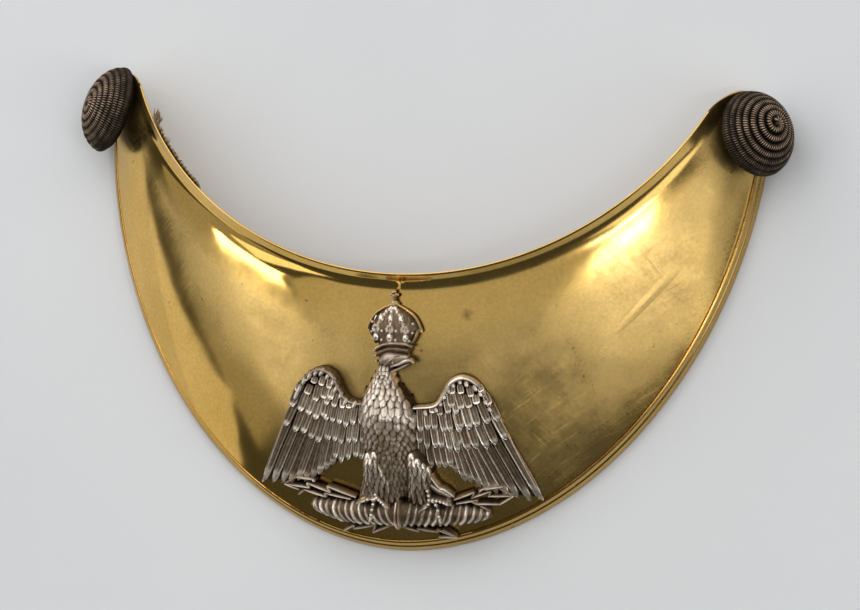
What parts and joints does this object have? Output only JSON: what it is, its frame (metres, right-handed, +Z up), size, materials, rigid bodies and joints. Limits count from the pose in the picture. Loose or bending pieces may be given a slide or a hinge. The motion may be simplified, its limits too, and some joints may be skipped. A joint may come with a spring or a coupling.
{
  "type": "gorget",
  "caption": "Crescent-shaped dished brass throat plate with a turned lip at the neck, a raised silvered eagle badge and a wound-cord button on each horn.",
  "frame": {"origin": "on the surface that the gorget lies on, under the middle of its box", "axes": "+Z up from the surface, +X to the wearer's left, +Y from the lower point towards the horns"},
  "size_m": [0.1504, 0.096, 0.0252],
  "materials": {
    "brass_plate": "polished, with light tarnish and fine scratches",
    "silvered_badge": "silvered casting with dark recesses",
    "wound_cord": "tarnished metal cord wound on a dome",
    "post_metal": "plain",
    "lining": "worn tan, torn edge"
  },
  "bodies": {
    "root": {"plate": "brass_plate", "eagle_badge": "silvered_badge", "button_left": "wound_cord", "button_right": "wound_cord", "button_post_left": "post_metal", "button_post_right": "post_metal", "lining_scrap": "lining"}
  },
  "joints": []
}
